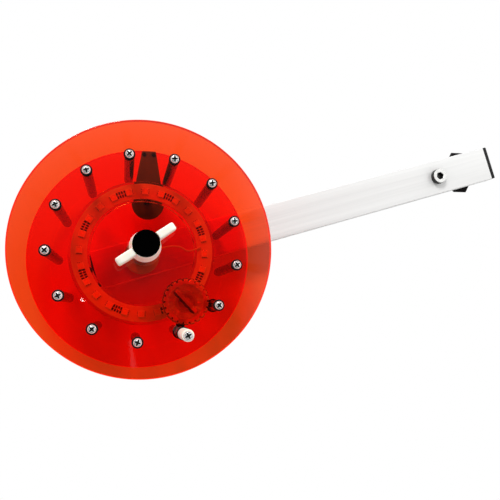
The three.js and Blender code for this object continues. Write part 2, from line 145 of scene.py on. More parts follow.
def along_arm(node):
    """Lowest and highest corner of a node in the arm's own frame, with X along the arm."""
    back = Matrix.Rotation(-arm_turn, 3, "Z")
    points = [back @ v.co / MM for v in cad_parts[node].data.vertices]
    return tuple(Vector(pick(p[i] for p in points) for i in range(3)) for pick in (min, max))


def reaches(node):
    """How far the corners of a node are from the axle's centre line."""
    return [v.co.xy.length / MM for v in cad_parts[node].data.vertices]


def post_name(number):
    return f"post_{number:02d}"


arm_turn = math.atan2(middle("clamp_screw").y, middle("clamp_screw").x)
disc_radius = high("front_disc").x
hub_hole = min(reaches("front_disc"))
posts = [middle(post_name(number)).xy for number in range(1, POST_COUNT + 1)]
knob_place = middle("dimmer_knob").xy
peg_place = middle("peg_sleeve").xy


# ---------------------------------------------------------------- shapes


def polar(radius, clockwise_deg):
    angle = math.radians(clockwise_deg)
    return Vector((radius * math.sin(angle), radius * math.cos(angle)))


def rounded(corners, radius, closed=True, steps=4):
    """The outline with an arc at each corner, of one radius or of one for each corner."""
    count = len(corners)
    radii = [radius] * count if isinstance(radius, (int, float)) else radius
    points = []
    for i, corner in enumerate(corners):
        here = Vector(corner)
        if not radii[i] or (not closed and i in (0, count - 1)):
            points.append(here)
            continue
        before = (Vector(corners[i - 1]) - here).normalized()
        after = (Vector(corners[(i + 1) % count]) - here).normalized()
        half = before.angle(after) / 2
        centre = here + (before + after).normalized() * (radii[i] / math.sin(half))
        first = here + before * (radii[i] / math.tan(half)) - centre
        last = here + after * (radii[i] / math.tan(half)) - centre
        start = math.atan2(first.y, first.x)
        sweep = (math.atan2(last.y, last.x) - start + math.pi) % (2 * math.pi) - math.pi
        for k in range(steps + 1):
            angle = start + sweep * k / steps
            points.append(centre + radii[i] * Vector((math.cos(angle), math.sin(angle))))
    return points


def mesh_of(bm):
    bmesh.ops.remove_doubles(bm, verts=bm.verts, dist=1e-5)
    bmesh.ops.recalc_face_normals(bm, faces=bm.faces)
    mesh = bpy.data.meshes.new("shape")
    bm.to_mesh(mesh)
    bm.free()
    return mesh


def lathe(profile, segments=48, ripple=None):
    """Turns (radius, height) points about Z. A profile that starts off the axis closes on itself.
    ripple(angle) is added to the radius of each point that has a third value, times that value."""
    bm = bmesh.new()
    rings = []
    for radius, z, *weight in profile:
        if radius < 1e-6:
            rings.append([bm.verts.new((0, 0, z))] * segments)
            continue
        ring = []
        for k in range(segments):
            angle = 2 * math.pi * k / segments
            reach = radius + (weight[0] * ripple(angle) if weight else 0)
            ring.append(bm.verts.new((reach * math.cos(angle), reach * math.sin(angle), z)))
        rings.append(ring)
    closed = profile[0][0] > 1e-6
    for i in range(len(rings) if closed else len(rings) - 1):
        here, there = rings[i], rings[(i + 1) % len(rings)]
        for k in range(segments):
            corners = [here[k], here[(k + 1) % segments], there[(k + 1) % segments], there[k]]
            corners = list(dict.fromkeys(corners))
            if len(corners) > 2:
                bm.faces.new(corners)
    return mesh_of(bm)


def rod(radius, z0, z1, edge=0.0, segments=48):
    return lathe(rounded([(0, z0), (radius, z0), (radius, z1), (0, z1)], edge, closed=False), segments)


def drill(radius, z0, z1, segments=24):
    """A rod that passes 1 mm beyond both faces of what it cuts."""
    return rod(radius, z0 - 1, z1 + 1, segments=segments)


def ring(inner, outer, z0, z1, edge=0.0, segments=64):
    return lathe(rounded([(inner, z0), (outer, z0), (outer, z1), (inner, z1)], edge), segments)


def prism(outline, z0, z1, edge=0.0):
    """An outline of (x, y) points raised from z0 to z1, with its rims rounded by edge."""
    bm = bmesh.new()
    base = bm.faces.new([bm.verts.new((x, y, z0)) for x, y in outline])
    raised = bmesh.ops.extrude_face_region(bm, geom=[base])["geom"]
    lifted = [v for v in raised if isinstance(v, bmesh.types.BMVert)]
    bmesh.ops.translate(bm, verts=lifted, vec=(0, 0, z1 - z0))
    if edge:
        rims = [e for e in bm.edges if abs(e.verts[0].co.z - e.verts[1].co.z) < 1e-6]
        bmesh.ops.bevel(bm, geom=rims, offset=edge, segments=3, profile=0.5, affect="EDGES")
    return mesh_of(bm)


def polygon(sides, across_flats, turn_deg=0.0):
    radius = across_flats / 2 / math.cos(math.pi / sides)
    return [polar(radius, turn_deg + 360 * k / sides) for k in range(sides)]


def box_outline(length, width, corner=0.0):
    x, y = length / 2, width / 2
    return rounded([(-x, -y), (x, -y), (x, y), (-x, y)], corner)


def clockwise_about_z(turn_deg):
    return Matrix.Rotation(-math.radians(turn_deg), 4, "Z")


def moved(mesh, x=0.0, y=0.0, z=0.0, turn=0.0):
    mesh.transform(Matrix.Translation((x, y, z)) @ Matrix.Rotation(turn, 4, "Z"))
    return mesh


def joined(*meshes):
    bm = bmesh.new()
    for mesh in meshes:
        bm.from_mesh(mesh)
    result = bpy.data.meshes.new("joined")
    bm.to_mesh(result)
    bm.free()
    return result


def spread(mesh, matrices):
    copies = []
    for matrix in matrices:
        copy = mesh.copy()
        copy.transform(matrix)
        copies.append(copy)
    return joined(*copies)


def evaluated(mesh, build):
    """The mesh after the modifiers that build(object) adds to it."""
    holder = bpy.data.objects.new("holder", mesh)
    bpy.context.scene.collection.objects.link(holder)
    build(holder)
    graph = bpy.context.evaluated_depsgraph_get()
    result = bpy.data.meshes.new_from_object(holder.evaluated_get(graph))
    bpy.data.objects.remove(holder)
    return result


def combined(mesh, tool, operation):
    helper = bpy.data.objects.new("helper", tool)
    bpy.context.scene.collection.objects.link(helper)

    def build(holder):
        step = holder.modifiers.new("combine", "BOOLEAN")
        step.operation = operation
        step.solver = "EXACT"
        step.object = helper

    result = evaluated(mesh, build)
    bpy.data.objects.remove(helper)
    return result


def cut(mesh, *tools):
    return combined(mesh, joined(*tools), "DIFFERENCE")


def moulded(mesh, voxel, rounds):
    """The mesh remeshed and relaxed, so that its corners and joins are softly rounded."""

    def build(holder):
        remesh = holder.modifiers.new("remesh", "REMESH")
        remesh.mode = "VOXEL"
        remesh.voxel_size = voxel
        relax = holder.modifiers.new("relax", "SMOOTH")
        relax.factor = 0.5
        relax.iterations = rounds

    return evaluated(mesh, build)


def cross_recess(top, depth, reach, half_width, up=1):
    """The tapered cross that a screwdriver goes in, from top down, or up from below for up = -1."""
    wide, narrow = 1.06, 0.42
    bm = bmesh.new()
    loops = []
    for z, scale in ((top + 0.3 * up, wide), (top - depth * up, narrow)):
        a, b = reach * scale, half_width * (0.5 + scale / 2)
        corners = [(a, b), (b, b), (b, a), (-b, a), (-b, b), (-a, b)]
        corners += [(-x, -y) for x, y in corners]
        loops.append([bm.verts.new((x, y, z)) for x, y in corners])
    count = len(loops[0])
    for loop in loops:
        bm.faces.new(loop)
    for k in range(count):
        bm.faces.new([loops[0][k], loops[0][(k + 1) % count], loops[1][(k + 1) % count], loops[1][k]])
    return mesh_of(bm)


def screw_thread(radius, z0, z1, pitch, depth):
    """The turned profile of a thread from z0 up to z1, as close rings."""
    points = []
    for k in range(int((z1 - z0) / pitch)):
        points.append((radius - depth, z0 + k * pitch))
        points.append((radius, z0 + (k + 0.5) * pitch))
    return points


# ---------------------------------------------------------------- materials


def mapped(tree, source, from_min, from_max, to_min, to_max):
    """A node that maps source from one range to another."""
    node = tree.nodes.new("ShaderNodeMapRange")
    limits = {"From Min": from_min, "From Max": from_max, "To Min": to_min, "To Max": to_max}
    for socket, value in limits.items():
        node.inputs[socket].default_value = value
    tree.links.new(source, node.inputs["Value"])
    return node


def computed(tree, operation, first, second):
    """The result of a sum on two values, each a number or the output of another node."""
    node = tree.nodes.new("ShaderNodeMath")
    node.operation = operation
    for socket, value in zip(node.inputs, (first, second)):
        if isinstance(value, (int, float)):
            socket.default_value = value
        else:
            tree.links.new(value, socket)
    return node.outputs["Value"]


class Surface:
    """A node material with short names for the nodes that the materials here share."""

    def __init__(self, name, color, roughness, metallic=0.0, **sockets):
        self.material = bpy.data.materials.new(name)
        self.material.use_nodes = True
        self.tree = self.material.node_tree
        self.shader = self.tree.nodes["Principled BSDF"]
        self.color = color
        self.shader.inputs["Base Color"].default_value = (*color, 1)
        self.shader.inputs["Roughness"].default_value = roughness
        self.shader.inputs["Metallic"].default_value = metallic
        for socket, value in sockets.items():
            self.shader.inputs[socket.replace("_", " ")].default_value = value

    def add(self, kind, **settings):
        """A new node, with each setting given to its attribute or input of that name."""
        node = self.tree.nodes.new(kind)
        for key, value in settings.items():
            if hasattr(node, key):
                setattr(node, key, value)
            else:
                node.inputs[key.replace("_", " ")].default_value = value
        return node

    def link(self, source, target):
        self.tree.links.new(source, target)

    def place(self, stretch):
        """The place on the object, stretched along each axis."""
        mapping = self.add("ShaderNodeMapping", Scale=stretch)
        self.link(self.add("ShaderNodeTexCoord").outputs["Object"], mapping.inputs["Vector"])
        return mapping.outputs["Vector"]

    def noise(self, per_metre, stretch=(1, 1, 1), detail=3.0):
        noise = self.add("ShaderNodeTexNoise", Scale=per_metre, Detail=detail)
        self.link(self.place(stretch), noise.inputs["Vector"])
        return noise.outputs["Fac"]

    def spanned(self, source, lowest, highest):
        """From lowest to highest, as source goes over the middle of a noise's range."""
        return mapped(self.tree, source, 0.3, 0.7, lowest, highest).outputs["Result"]

    def tint(self, source, dark, light):
        """Base colour between dark and light times the surface's own colour, along source."""
        ramp = self.add("ShaderNodeMix", data_type="RGBA")
        self.link(self.spanned(source, 0.0, 1.0), ramp.inputs["Factor"])
        for socket, gain in (("A", dark), ("B", light)):
            colors = [s for s in ramp.inputs if s.name == socket and s.type == "RGBA"]
            colors[0].default_value = (*[min(1, c * gain) for c in self.color], 1)
        result = [s for s in ramp.outputs if s.type == "RGBA"][0]
        self.link(result, self.shader.inputs["Base Color"])
        return self

    def rough(self, source, smoothest, roughest):
        """Roughness from smoothest to roughest, along source."""
        self.link(self.spanned(source, smoothest, roughest), self.shader.inputs["Roughness"])
        return self

    def bump(self, source, height_mm, strength):
        """Small bumps in the surface's height, along source."""
        bump = self.add("ShaderNodeBump", Strength=strength, Distance=height_mm * MM)
        self.link(source, bump.inputs["Height"])
        self.link(bump.outputs["Normal"], self.shader.inputs["Normal"])
        return self


def tinted_sheet(name, through, gloss_roughness):
    """Clear coloured plastic: light goes straight through each face, times through, and the outer
    faces add the reflection of polished acrylic, with faint scratches in it."""
    sheet = Surface(name, through, gloss_roughness)
    tree = sheet.tree
    clear = sheet.add("ShaderNodeBsdfTransparent")
    clear.inputs["Color"].default_value = (*through, 1)
    gloss = sheet.add("ShaderNodeBsdfGlossy", Roughness=gloss_roughness)
    fresnel = sheet.add("ShaderNodeFresnel", IOR=ACRYLIC_IOR)
    behind = sheet.add("ShaderNodeNewGeometry").outputs["Backfacing"]
    share = computed(tree, "MULTIPLY", fresnel.outputs["Fac"], computed(tree, "SUBTRACT", 1, behind))
    sheet.link(share, gloss.inputs["Color"])
    whole = sheet.add("ShaderNodeAddShader")
    sheet.link(clear.outputs["BSDF"], whole.inputs[0])
    sheet.link(gloss.outputs["BSDF"], whole.inputs[1])
    scratches = sheet.add("ShaderNodeBump", Strength=0.06, Distance=0.02 * MM)
    sheet.link(sheet.noise(900, (1, 14, 1), 4), scratches.inputs["Height"])
    sheet.link(scratches.outputs["Normal"], gloss.inputs["Normal"])
    tree.nodes.remove(sheet.shader)
    sheet.link(whole.outputs["Shader"], tree.nodes["Material Output"].inputs["Surface"])
    return sheet.material


def plain(surface, per_metre=900, spread_of=0.06, height_mm=0.02, rough_spread=0.08):
    """Fine mottling, uneven gloss and a slight texture, which every moulded or turned piece has."""
    grain = surface.noise(per_metre)
    roughness = surface.shader.inputs["Roughness"].default_value
    surface.tint(surface.noise(per_metre / 6), 1 - spread_of, 1 + spread_of)
    surface.rough(grain, max(0.02, roughness - rough_spread), roughness + rough_spread)
    surface.bump(grain, height_mm, 0.4)
    return surface.material


def drawn_metal(name, color, roughness, stretch, per_metre, lines, metallic=1.0):
    """Metal with fine lines along the direction that stretch leaves longest."""
    metal = Surface(name, color, roughness, metallic)
    streaks = metal.noise(per_metre, stretch, 5)
    metal.tint(streaks, 1 - lines, 1 + lines)
    metal.rough(streaks, roughness - 0.07, roughness + 0.07)
    metal.bump(streaks, 0.01, 0.5)
    return metal.material


def acrylic(name, color, roughness, transmission, **sockets):
    """Clear plastic that bends light, as far as transmission goes."""
    sockets = {"Transmission_Weight": transmission, "IOR": ACRYLIC_IOR, **sockets}
    return Surface(name, color, roughness, **sockets).material


red_sheet = tinted_sheet("red_acrylic_sheet", (0.992, 0.275, 0.1), 0.012)
# The discs' rims: opaque red with an emission that paints a glow on them, though they are no lamp.
red_edge_painted_glow = Surface("red_acrylic_edge_painted_glow", (0.8, 0.12, 0.05), 0.35, Emission_Strength=0.38)
red_edge_painted_glow.shader.inputs["Emission Color"].default_value = (0.9, 0.12, 0.045, 1)
red_edge_painted_glow = plain(red_edge_painted_glow, 1500, 0.1, 0.03)
knob_plastic = acrylic("knob_acrylic", (0.95, 0.92, 0.88), 0.04, 0.7, Coat_Weight=1.0)
# Near-black, barely clear plastic for the knob's flute grooves and one side of its grip bar: painted shade.
knob_groove_painted_shade = acrylic("knob_groove_painted_shade", (0.03, 0.02, 0.02), 0.15, 0.15)
clear_plastic = acrylic("clear_acrylic", (0.97, 0.98, 0.98), 0.04, 1.0)
extruded = drawn_metal("extruded_aluminium", (0.87, 0.87, 0.86), 0.42, (0.012, 1, 1), 420, 0.04, 0.15)
# Turned aluminium for the posts and hub tube, darkened far below its own colour as painted shade inside the
# drum.
turned = drawn_metal("turned_aluminium_painted_shade", (0.24, 0.24, 0.24), 0.24, (0.05, 0.05, 1), 2600, 0.04)
zinc = plain(Surface("zinc_steel", (0.85, 0.85, 0.83), 0.22, 0.7), 2500, 0.08, 0.01)
# Near-black steel for the faces inside screw recesses and round the clamp head's side: painted shade.
painted_shade_steel = plain(Surface("steel_in_shadow", (0.02, 0.02, 0.02), 0.3, 0.6), 2500, 0.3, 0.01)
black_plastic = plain(Surface("black_nylon", (0.008, 0.008, 0.008), 0.45, Specular_IOR_Level=0.3), 1200)
black_cap = plain(Surface("black_vinyl", (0.0005, 0.0005, 0.0005), 0.9, Specular_IOR_Level=0.0), 1500)
black_rubber = Surface("black_rubber", (0.004, 0.003, 0.003), 0.8, Specular_IOR_Level=0.15)
black_rubber = plain(black_rubber, 1600, 0.1, 0.05)
plate_black = plain(Surface("worn_black_plate", (0.075, 0.07, 0.068), 0.4), 500, 0.2)
nylon = Surface("cream_nylon", (0.95, 0.9, 0.78), 0.42, Subsurface_Weight=0.2, Subsurface_Scale=0.002)
nylon = plain(nylon, 700, 0.05, 0.03)
# The cream nylon darkened to grey for the bushes under the wing nut: painted shade.
nylon_painted_shade = plain(Surface("nylon_painted_shade", (0.5, 0.46, 0.4), 0.45), 700, 0.05, 0.03)
white_mask = plain(Surface("white_solder_mask", (0.76, 0.74, 0.7), 0.35), 1800, 0.03, 0.01)
led_body = plain(Surface("lamp_body", (0.9, 0.89, 0.86), 0.3), 2000, 0.03, 0.01)
phosphor = plain(Surface("lamp_phosphor", (0.95, 0.78, 0.2), 0.35), 3000, 0.06, 0.02)
chip_black = plain(Surface("resistor_black", (0.02, 0.02, 0.022), 0.4), 3000)
solder = plain(Surface("solder", (0.75, 0.74, 0.72), 0.25, 1.0), 4000, 0.08, 0.03)
insulation = plain(Surface("lead_insulation", (0.66, 0.62, 0.54), 0.4), 2500, 0.04)


# ---------------------------------------------------------------- placing pieces


def piece(name, mesh, material, body, node=None, place=(0, 0), turn=0.0):
    """Puts a mesh made in millimetres in the scene, on its body, standing for its CAD node."""
    if not mesh.get("in_metres"):
        mesh.transform(Matrix.Scale(MM, 4))
        mesh["in_metres"] = True
        mesh.name = name
        for each in material if isinstance(material, tuple) else (material,):
            mesh.materials.append(each)
        mesh.shade_smooth()
        mesh.set_sharp_from_angle(angle=math.radians(SMOOTH_BELOW_DEG))
    made = bpy.data.objects.new(name, mesh)
    bpy.context.scene.collection.objects.link(made)
    made.location = (place[0] * MM, place[1] * MM, 0)
    made.rotation_euler = (0, 0, turn)
    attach(made, body)
    if node:
        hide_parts(node)
    return made


# ---------------------------------------------------------------- arm


def along_x(mesh):
    """Turns a mesh made upright so that its height runs along X and its outline lies in Y and Z."""
    mesh.transform(Matrix(((0, 0, 1, 0), (1, 0, 0, 0), (0, 1, 0, 0), (0, 0, 0, 1))))
    return mesh


def build_arm():
    first, last = along_arm("arm_tube")
    width, depth = last.y - first.y, last.z - first.z
    inner_width, inner_depth = width - 2 * TUBE_WALL, depth - 2 * TUBE_WALL
    level = (first.z + last.z) / 2
    clamp = middle("clamp_screw")
    pad_at = (Matrix.Rotation(-arm_turn, 2) @ middle("pad_screw").xy).x

    outer = along_x(prism(box_outline(width, depth, 0.7), first.x, last.x, 0.15))
    inner = along_x(prism(box_outline(inner_width, inner_depth, 0.4), first.x - 5, last.x + 5))
    tube = cut(moved(outer, z=level), moved(inner, z=level))
    holes = [moved(rod(M8_HOLE, first.z - 2, last.z + 2, segments=32), x) for x in (0, clamp.xy.length)]
    holes.append(moved(rod(M3_HOLE, first.z - 2, first.z + 3, segments=24), pad_at))
    tube = cut(tube, *holes)
    piece("arm_extrusion", tube, extruded, "arm", "arm_tube", turn=arm_turn)

    for name, side in (("inner_end_cap", -1), ("outer_end_cap", 1)):
        start, end = along_arm(name)
        face, back = (end.x, start.x) if side > 0 else (start.x, end.x)
        shoulder = face - CAP_FLANGE * side
        shapes = []
        for across, tall, edge, x0, x1 in (
            (width, depth, 0.25, shoulder, face),
            (inner_width - CAP_PLAY, inner_depth - CAP_PLAY, 0.4, back, shoulder + 0.3 * side),
        ):
            shape = prism(box_outline(across, tall, 0.8), min(x0, x1), max(x0, x1), edge)
            shapes.append(moved(along_x(shape), z=level))
        whole = combined(*shapes, "UNION")
        piece(f"{name}_moulding", whole, black_plastic, "arm", name, turn=arm_turn)

    build_clamp(clamp, last.z)
    build_pad()


def build_clamp(clamp, arm_front):
    """The low-head socket screw through the arm, with its knurled head, and the nut behind."""
    bottom, top = arm_front + GAP, high("clamp_screw").z
    knurls = 60
    profile = [(0, bottom), (6.3, bottom), (6.5, bottom + 0.2, 1), (6.5, top - 0.8, 1)]
    profile += [(6.3, top - 0.35), (5.9, top), (0, top)]
    head = lathe(profile, knurls * 6, lambda angle: 0.07 * math.cos(knurls * angle))
    socket = prism(polygon(6, 6.0, 10), top - 3, top + 1)
    lead_in = lathe([(0, top - 0.35), (3.1, top - 0.35), (3.6, top + 0.1), (0, top + 0.1)])
    head = cut(cut(head, socket), lead_in)

    # Painted shade: the inside of the socket and the knurled side of the head take the near-black steel.
    def dark(at, facing):
        return at.xy.length < 3.55 and at.z < top - 0.5 or at.xy.length > 6.2

    painted(head, dark)
    tip = low("clamp_screw").z
    shank = [(0, tip), (3.1, tip)] + screw_thread(M8_THREAD, tip + 0.5, tip + 14, M8_PITCH, 0.55)
    shank += [(3.95, tip + 15), (3.95, bottom + 0.05), (0, bottom + 0.05)]
    screw = joined(head, lathe(shank, 32))
    piece("clamp_cap_screw", screw, (zinc, painted_shade_steel), "arm", "clamp_screw", clamp.xy)

    nut = hexagon_nut(low("clamp_nut").z, high("clamp_nut").z, 4.05)
    piece("clamp_hexagon_nut", nut, zinc, "arm", "clamp_nut", clamp.xy, arm_turn)


def hexagon_nut(z0, z1, bore):
    """An M8 hexagon with its corners turned off at both faces, and a bore if it has one."""
    radius = M8_ACROSS_FLATS / 2
    corner = radius / math.cos(math.pi / 6) + 0.2
    fall = (corner - radius) * 0.5
    cone = [(0, z0), (radius - 0.1, z0), (corner, z0 + fall)]
    cone += [(corner, z1 - fall), (radius - 0.1, z1), (0, z1)]
    nut = combined(prism(polygon(6, M8_ACROSS_FLATS), z0, z1), lathe(cone, 72), "INTERSECT")
    if not bore:
        return nut
    mouth = [(0, z0 - 0.1), (bore + 0.6, z0 - 0.1), (bore, z0 + 0.5)]
    mouth += [(bore, z1 - 0.5), (bore + 0.6, z1 + 0.1), (0, z1 + 0.1)]
    return cut(nut, lathe(mouth, 32))


def build_pad():
    """The rubber pad, with its corners cut off and its sides drawn in towards its foot."""
    start, end = low("cross_pad"), high("cross_pad")
    x, y = (end.x - start.x) / 2, (end.y - start.y) / 2
    corners = [(x - PAD_CUT_X, -y), (x, PAD_CUT_Y - y), (x, y - PAD_CUT_Y), (x - PAD_CUT_X, y)]
    corners += [(-a, -b) for a, b in corners]
    pad = prism(rounded(corners, 0.6), start.z, end.z, 0.5)
    for vertex in pad.vertices:
        if vertex.co.z < (start.z + end.z) / 2:
            vertex.co.xy *= PAD_TAPER
    pad = cut(pad, rod(3.3, start.z - 1, start.z + 4), rod(M3_HOLE, start.z, end.z + 1, segments=24))
    place = middle("cross_pad").xy
    piece("cross_pad_moulding", pad, black_rubber, "arm", "cross_pad", place)
    z0, z1 = low("pad_screw").z, high("pad_screw").z
    screw = pan_screw(z0 + 2.7, z0, z1, PAD_SCREW_HEAD, up=-1)
    piece("pad_pan_screw", screw, (zinc, painted_shade_steel), "arm", "pad_screw", place)


# ---------------------------------------------------------------- screws


def painted(mesh, chosen):
    """Gives the second material to the faces for which chosen(centre, normal) holds."""
    for face in mesh.polygons:
        if chosen(face.center, face.normal):
            face.material_index = 1
    return mesh


def pan_screw(seat, crown, tip, radius, up=1):
    """A cross-recessed pan head from seat to crown, on a shank that ends at tip."""
    fullness = 2 / 2.9
    tall = crown - seat
    dome = []
    for k in range(9):
        angle = math.pi / 2 * k / 8
        side, rise = math.sin(angle) ** fullness, math.cos(angle) ** fullness
        dome.append((radius * side, seat + tall * rise))
    head = lathe(dome + [(M3_SHANK, seat), (0, seat)], 32)
    reach = radius * 0.76
    head = cut(head, cross_recess(crown, 1.35, reach, radius * 0.2, up))
    # Painted shade: the faces down in the cross recess take the near-black steel.
    painted(head, lambda at, facing: at.xy.length < reach and (crown - at.z) * up > 0.3)
    base = seat - 0.02 * up
    shank = [(0, base), (M3_SHANK, base), (M3_SHANK, tip + 0.6 * up), (0.9, tip), (0, tip)]
    return joined(head, lathe(shank, 20))


def flat_screw(face, tip):
    """A cross-recessed countersunk head with its face at the given height, and its shank up to tip."""
    profile = [(0, face), (FLAT_HEAD - 0.1, face), (FLAT_HEAD, face + 0.15)]
    profile += [(M3_SHANK, face + 1.7), (0, face + 1.7)]
    recess = cross_recess(face, 1.2, FLAT_HEAD * 0.55, FLAT_HEAD * 0.15, -1)
    return joined(cut(lathe(profile, 32), recess), rod(M3_SHANK, face + 1.68, tip, segments=20))


# ---------------------------------------------------------------- drum


def build_discs():
    for name in ("front_disc", "back_disc"):
        z0, z1 = low(name).z, high(name).z
        disc = ring(hub_hole, disc_radius, z0, z1, 0.3, 288)
        if name == "front_disc":
            holes = [moved(drill(M3_HOLE, z0, z1), *place) for place in posts]
        else:
            profile = [(0, z0 - 1), (3.7, z0 - 1), (3.6, z0 + 0.3), (M3_HOLE, z0 + 2.3)]
            profile += [(M3_HOLE, z1 + 1), (0, z1 + 1)]
            sunk = posts + [middle(f"lamp_standoff_{k}").xy for k in range(1, STANDOFF_COUNT + 1)]
            holes = [moved(lathe(profile, 24), *place) for place in sunk]
            for number in (1, 2):
                hole = drill(M2_HOLE, z0, z1, segments=16)
                holes.append(moved(hole, *middle(f"index_screw_{number}").xy))
        disc = cut(disc, *holes)
        # The rim faces take the edge material, whose emission is a painted glow.
        painted(disc, lambda at, facing: at.xy.length > disc_radius - 0.32 and abs(facing.z) < 0.9)
        piece(f"{name}_sheet", disc, (red_sheet, red_edge_painted_glow), "drum", name)


def build_posts():
    base = high("back_disc").z + GAP
    top = high("post_01").z
    outer = (high("post_01").x - low("post_01").x) / 2
    profile = [(0, base), (outer - 0.3, base), (outer, base + 0.3), (outer, top - 0.3), (outer - 0.3, top)]
    profile += [(M3_BORE, top), (M3_BORE, top - POST_BORE_DEPTH), (0, top - POST_BORE_DEPTH)]
    spacer = lathe(profile, 48)
    sunk = flat_screw(low("post_01").z, base + 0.02)
    for number, place in enumerate(posts, 1):
        tag = f"{number:02d}"
        piece(f"spacer_{tag}", spacer, turned, "drum", post_name(number), place)
        piece(f"rear_screw_{tag}", sunk, zinc, "drum", None, place, random.uniform(0, 3))


def build_front_screws():
    washer_low = high("front_disc").z + GAP
    washer_high = washer_low + WASHER_THICKNESS
    screw = pan_screw(washer_high, high("front_screw_01").z, low("front_screw_01").z, PAN_HEAD)
    washer = ring(M3_BORE, 3.8, washer_low, washer_high, 0.25, 40)
    steel = (zinc, painted_shade_steel)
    for number, place in enumerate(posts, 1):
        if number == PEG_POST:
            continue
        tag = f"{number:02d}"
        turn = random.uniform(0, 3)
        piece(f"pan_screw_{tag}", screw, steel, "drum", f"front_screw_{tag}", place, turn)
        piece(f"pan_washer_{tag}", washer, black_rubber, "drum", None, place)


def build_peg():
    z0, z1 = low("peg_sleeve").z, high("peg_sleeve").z
    outer = (high("peg_sleeve").x - low("peg_sleeve").x) / 2
    outline = [(M3_HOLE, z0), (outer, z0), (outer, z1), (M3_HOLE, z1)]
    sleeve = lathe(rounded(outline, [0, 0.4, 0.6, 0]), 48)
    piece("peg_tube", sleeve, nylon, "peg", "peg_sleeve", peg_place)
    screw = pan_screw(z1 + GAP, high("peg_screw").z, low("peg_screw").z, PAN_HEAD)
    piece("peg_pan_screw", screw, (zinc, painted_shade_steel), "drum", "peg_screw", peg_place, 0.5)
    washer_low = high("front_disc").z + GAP
    washer = ring(M3_BORE, 4.4, washer_low, washer_low + WASHER_THICKNESS, 0.25, 40)
    piece("peg_washer", washer, black_rubber, "drum", None, peg_place)


# ---------------------------------------------------------------- hub


def build_hub():
    head_low, head_high = low("axle_bolt").z, low("arm_tube").z - GAP
    top = high("axle_bolt").z
    shank = [(0, head_high - 0.1), (4, head_high - 0.1), (4, top - 19)]
    shank += screw_thread(M8_THREAD, top - 18, top - 0.8, M8_PITCH, 0.5) + [(3.2, top), (0, top)]
    bolt = joined(hexagon_nut(head_low, head_high, 0), lathe(shank, 40))
    piece("axle_hexagon_bolt", bolt, zinc, "arm", "axle_bolt")

    outer = high("rear_foot").x
    foot = cut(rod(outer, 0, high("rear_foot").z, 1.0, 96), rod(FOOT_POCKET, head_low - GAP, head_high + 2))
    piece("rear_foot_moulding", foot, black_rubber, "arm", "rear_foot")

    for name, body, material, slot in (
        ("arm_washer", "arm", zinc, "zinc_steel"),
        ("drag_washer", "drag_stack", zinc, "zinc_steel"),
        ("spring_washer", "drag_stack", zinc, "zinc_steel"),
    ):
        washer = ring(4.2, high(name).x, low(name).z, high(name).z, 0.2, 56)
        piece(f"{name}_plate", washer, material, body, name)

    z0, z1 = low("hub_tube").z, high("hub_tube").z
    tube = ring(min(reaches("hub_tube")), high("hub_tube").x, z0, z1, 0.25, 72)
    piece("hub_spacer_tube", tube, turned, "drum", "hub_tube")

    for name, flange_on_top in (("rear_bush", True), ("front_bush", False)):
        z0, z1 = low(name).z, high(name).z
        wide, slim = high(name).x, hub_hole - GAP
        if flange_on_top:
            step = z1 - FLANGE_THICKNESS
            steps = [(slim, z0), (slim, step), (wide, step), (wide, z1)]
            radii = [0.2, 0.3, 0.0, 0.4, 0.4, 0.2]
        else:
            step = z0 + FLANGE_THICKNESS
            steps = [(wide, z0), (wide, step), (slim, step), (slim, z1)]
            radii = [0.2, 0.4, 0.4, 0.0, 0.3, 0.2]
        outline = [(M8_BORE, z0), *steps, (M8_BORE, z1)]
        turning = lathe(rounded(outline, radii), 72)
        # The bushes take the nylon that is darkened as painted shade.
        piece(f"{name}_turning", turning, nylon_painted_shade, "drum", name)
    build_wing_nut()


def wing_turn():
    """The angle of the wings and how far they reach, from the nut's points farthest off its axis."""
    points = [v.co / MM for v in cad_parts["wing_nut"].data.vertices]
    reach = max(p.xy.length for p in points)
    far = [p for p in points if p.xy.length > reach - 0.3 and p.x > 0]
    tip = sum((p.xy for p in far), Vector((0, 0))) / len(far)
    return math.atan2(tip.y, tip.x), reach


def build_wing_nut():
    z0, z1 = low("wing_nut").z, high("wing_nut").z
    turn, reach = wing_turn()
    top = z1 - WING_RISE
    outline = [(0, z0), (NUT_RADIUS, z0), (NUT_TOP_RADIUS, top), (0, top)]
    hub = lathe(rounded(outline, [0, 0.6, 0.5, 0], False), 96)
    x = math.sqrt(reach * reach - HALF_WING * HALF_WING)
    outline = [(-9, z0 + 4), (9, z0 + 4), (x, z0 + 10), (x, z1), (-x, z1), (-x, z0 + 10)]
    wings = prism(rounded(outline, [2, 2, 3, 2.6, 2.6, 3]), -HALF_WING, HALF_WING, 1.1)
    wings.transform(Matrix.Rotation(math.pi / 2, 4, "X"))
    nut = combined(hub, moved(wings, turn=turn), "UNION")
    cap_reach = high("hub_cap").x
    for tool in (
        rod(NUT_RECESS, z0 - 1, z0 + 3.2),
        rod(M8_BORE, z0, top + 1, segments=32),
        rod(cap_reach + GAP, top, z1 + 1, segments=72),
    ):
        nut = cut(nut, tool)
    nut = moulded(nut, 0.34, 4)
    piece("wing_nut_moulding", nut, nylon, "wing", "wing_nut")

    c0, c1 = low("hub_cap").z, high("hub_cap").z
    seat = top + GAP
    outline = [(0, c0), (CAP_SPIGOT, c0), (CAP_SPIGOT, seat), (cap_reach, seat), (cap_reach, c1), (0, c1)]
    cap = lathe(rounded(outline, [0, 0.3, 0, 0.3, 0.5, 0], False), 96)
    piece("hub_cap_moulding", cap, black_cap, "wing", "hub_cap")


# ---------------------------------------------------------------- lamp


